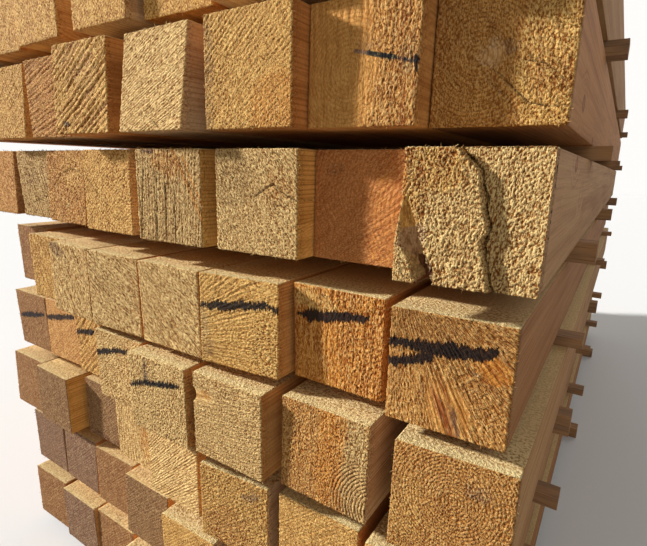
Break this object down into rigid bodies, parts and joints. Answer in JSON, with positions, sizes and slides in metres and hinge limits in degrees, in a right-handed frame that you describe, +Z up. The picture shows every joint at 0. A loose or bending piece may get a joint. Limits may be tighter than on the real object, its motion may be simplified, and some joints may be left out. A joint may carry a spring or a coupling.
{
  "type": "stack of square timber beams",
  "caption": "Stack of square sawn softwood beams in rows, with thin battens between the rows, lying on battens.",
  "frame": {"origin": "under the middle of the stack, on the underside of its lowest battens", "axes": "+Y along the beams from the ends that show to the far ends, +X to the right across the stack seen from those ends, +Z up"},
  "size_m": [1.408, 3.1315, 1.44],
  "materials": {
    "sawn_timber": "rough sawn",
    "batten_wood": "rough sawn, weathered"
  },
  "bodies": {
    "root": {"beams_row_1": "sawn_timber", "beams_row_2": "sawn_timber", "beams_row_3": "sawn_timber", "beams_row_4": "sawn_timber", "beams_row_5": "sawn_timber", "beams_row_6": "sawn_timber", "beams_row_7": "sawn_timber", "beams_row_8": "sawn_timber", "battens_front": "batten_wood", "battens_middle": "batten_wood", "battens_back": "batten_wood"}
  },
  "joints": []
}
